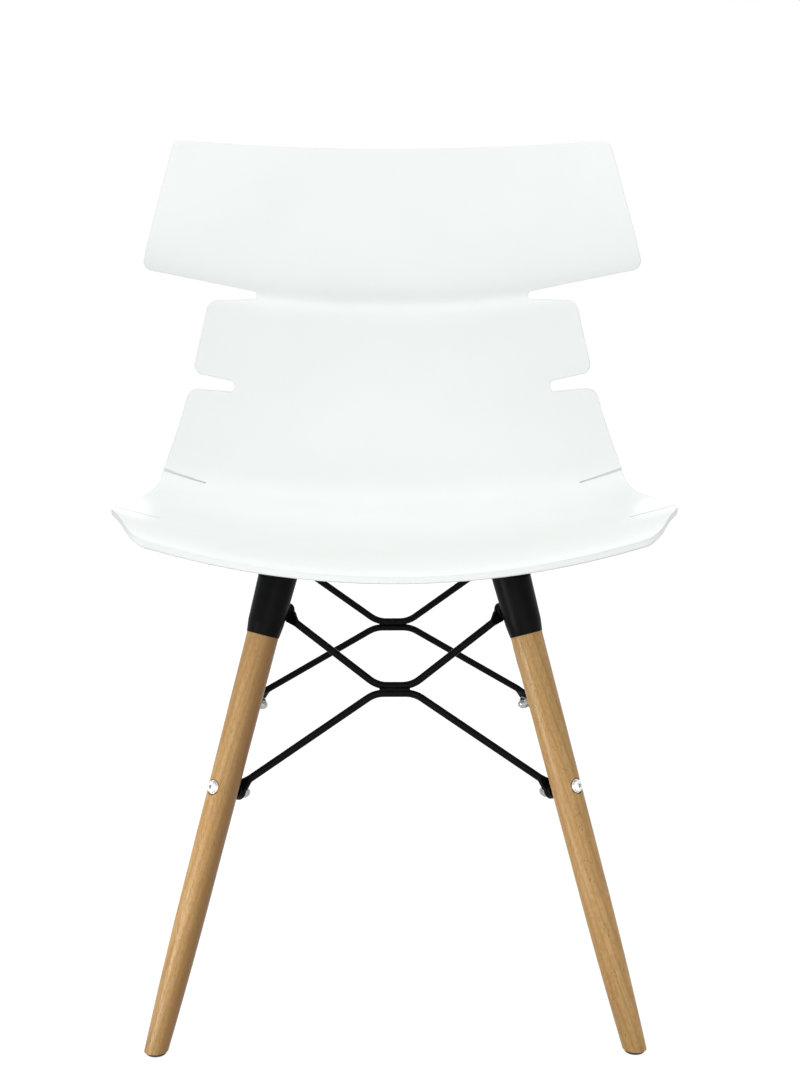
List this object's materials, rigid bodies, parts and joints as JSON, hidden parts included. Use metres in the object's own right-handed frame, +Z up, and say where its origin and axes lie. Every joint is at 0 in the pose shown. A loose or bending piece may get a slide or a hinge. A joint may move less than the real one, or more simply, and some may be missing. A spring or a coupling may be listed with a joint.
{
  "type": "moulded plastic shell chair",
  "caption": "Moulded plastic shell chair with slotted seat and back bands on splayed wooden dowel legs with bent rod braces.",
  "frame": {"origin": "on the floor, below the middle of the chair", "axes": "+Z up, the chair faces -Y, +X towards the sitter's left hand, which is the viewer's right in the picture"},
  "size_m": [0.501, 0.4584, 0.7953],
  "materials": {
    "shell_plastic": "satin",
    "beech": "clear lacquer",
    "black_steel": "satin powder coat",
    "zinc_steel": "bright zinc",
    "brass": "plain",
    "rubber": "matte",
    "glide_plastic": "matte"
  },
  "bodies": {
    "root": {"seat_shell": "shell_plastic", "leg_front_left": "beech", "leg_sleeve_front_left": "black_steel", "mounting_plate_front_left": "black_steel", "rubber_pad_front_left": "rubber", "foot_glide_front_left": "glide_plastic", "leg_front_right": "beech", "leg_sleeve_front_right": "black_steel", "mounting_plate_front_right": "black_steel", "rubber_pad_front_right": "rubber", "foot_glide_front_right": "glide_plastic", "leg_rear_right": "beech", "leg_sleeve_rear_right": "black_steel", "mounting_plate_rear_right": "black_steel", "rubber_pad_rear_right": "rubber", "foot_glide_rear_right": "glide_plastic", "leg_rear_left": "beech", "leg_sleeve_rear_left": "black_steel", "mounting_plate_rear_left": "black_steel", "rubber_pad_rear_left": "rubber", "foot_glide_rear_left": "glide_plastic", "front_lower_rod": "black_steel", "front_upper_rod": "black_steel", "right_lower_rod": "black_steel", "right_upper_rod": "black_steel", "rear_lower_rod": "black_steel", "rear_upper_rod": "black_steel", "left_lower_rod": "black_steel", "left_upper_rod": "black_steel", "weld_beads": "black_steel", "leg_bolts": "zinc_steel", "leg_washers": "zinc_steel", "leg_dome_nuts": "zinc_steel", "eye_screws": "black_steel", "shell_screws": "zinc_steel", "shell_inserts": "brass", "glide_nails": "zinc_steel"}
  },
  "joints": []
}
